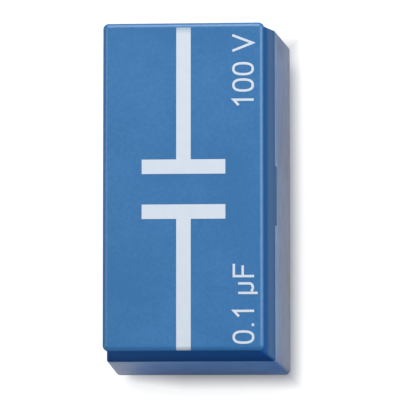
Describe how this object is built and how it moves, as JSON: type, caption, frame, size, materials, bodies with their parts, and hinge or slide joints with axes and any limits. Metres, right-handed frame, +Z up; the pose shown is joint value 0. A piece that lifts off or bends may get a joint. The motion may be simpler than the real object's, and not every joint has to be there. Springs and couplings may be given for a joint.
{
  "type": "plug-in capacitor",
  "caption": "Plug-in capacitor element: blue cover with a printed capacitor symbol, snapped onto a clear tapered base with sprung plugs below for a socket board.",
  "frame": {"origin": "centre of the base's underside, the seating face, midway between the two plugs", "axes": "+Z up out of the seating face to the printed face, +Y along the row of plugs to the rear one, +X across it"},
  "size_m": [0.0264, 0.05, 0.06],
  "materials": {
    "blue_plastic": "satin moulded plastic",
    "white_ink": "flat printed ink",
    "clear_plastic": "clear smoky plastic, polished mould",
    "nickel": "nickel-plated, turned",
    "zinc_steel": "zinc-plated",
    "tinned_brass": "tinned, stamped",
    "yellow_wrap": "polyester film wrap",
    "resin": "cast resin",
    "tinned_wire": "tinned copper wire",
    "solder": "bright solder"
  },
  "bodies": {
    "root": {"cover": "blue_plastic", "printed_symbol": "white_ink", "base_housing": "clear_plastic", "plug_pin_front": "nickel", "plug_pin_rear": "nickel", "flat_washer_front": "zinc_steel", "flat_washer_rear": "zinc_steel", "solder_lug_front": "tinned_brass", "solder_lug_rear": "tinned_brass", "lock_washer_front": "zinc_steel", "lock_washer_rear": "zinc_steel", "hex_nut_front": "nickel", "hex_nut_rear": "nickel", "capacitor_body": "yellow_wrap", "end_seal_front": "resin", "end_seal_rear": "resin", "capacitor_lead_front": "tinned_wire", "capacitor_lead_rear": "tinned_wire", "solder_joint_front": "solder", "solder_joint_rear": "solder"}
  },
  "joints": []
}
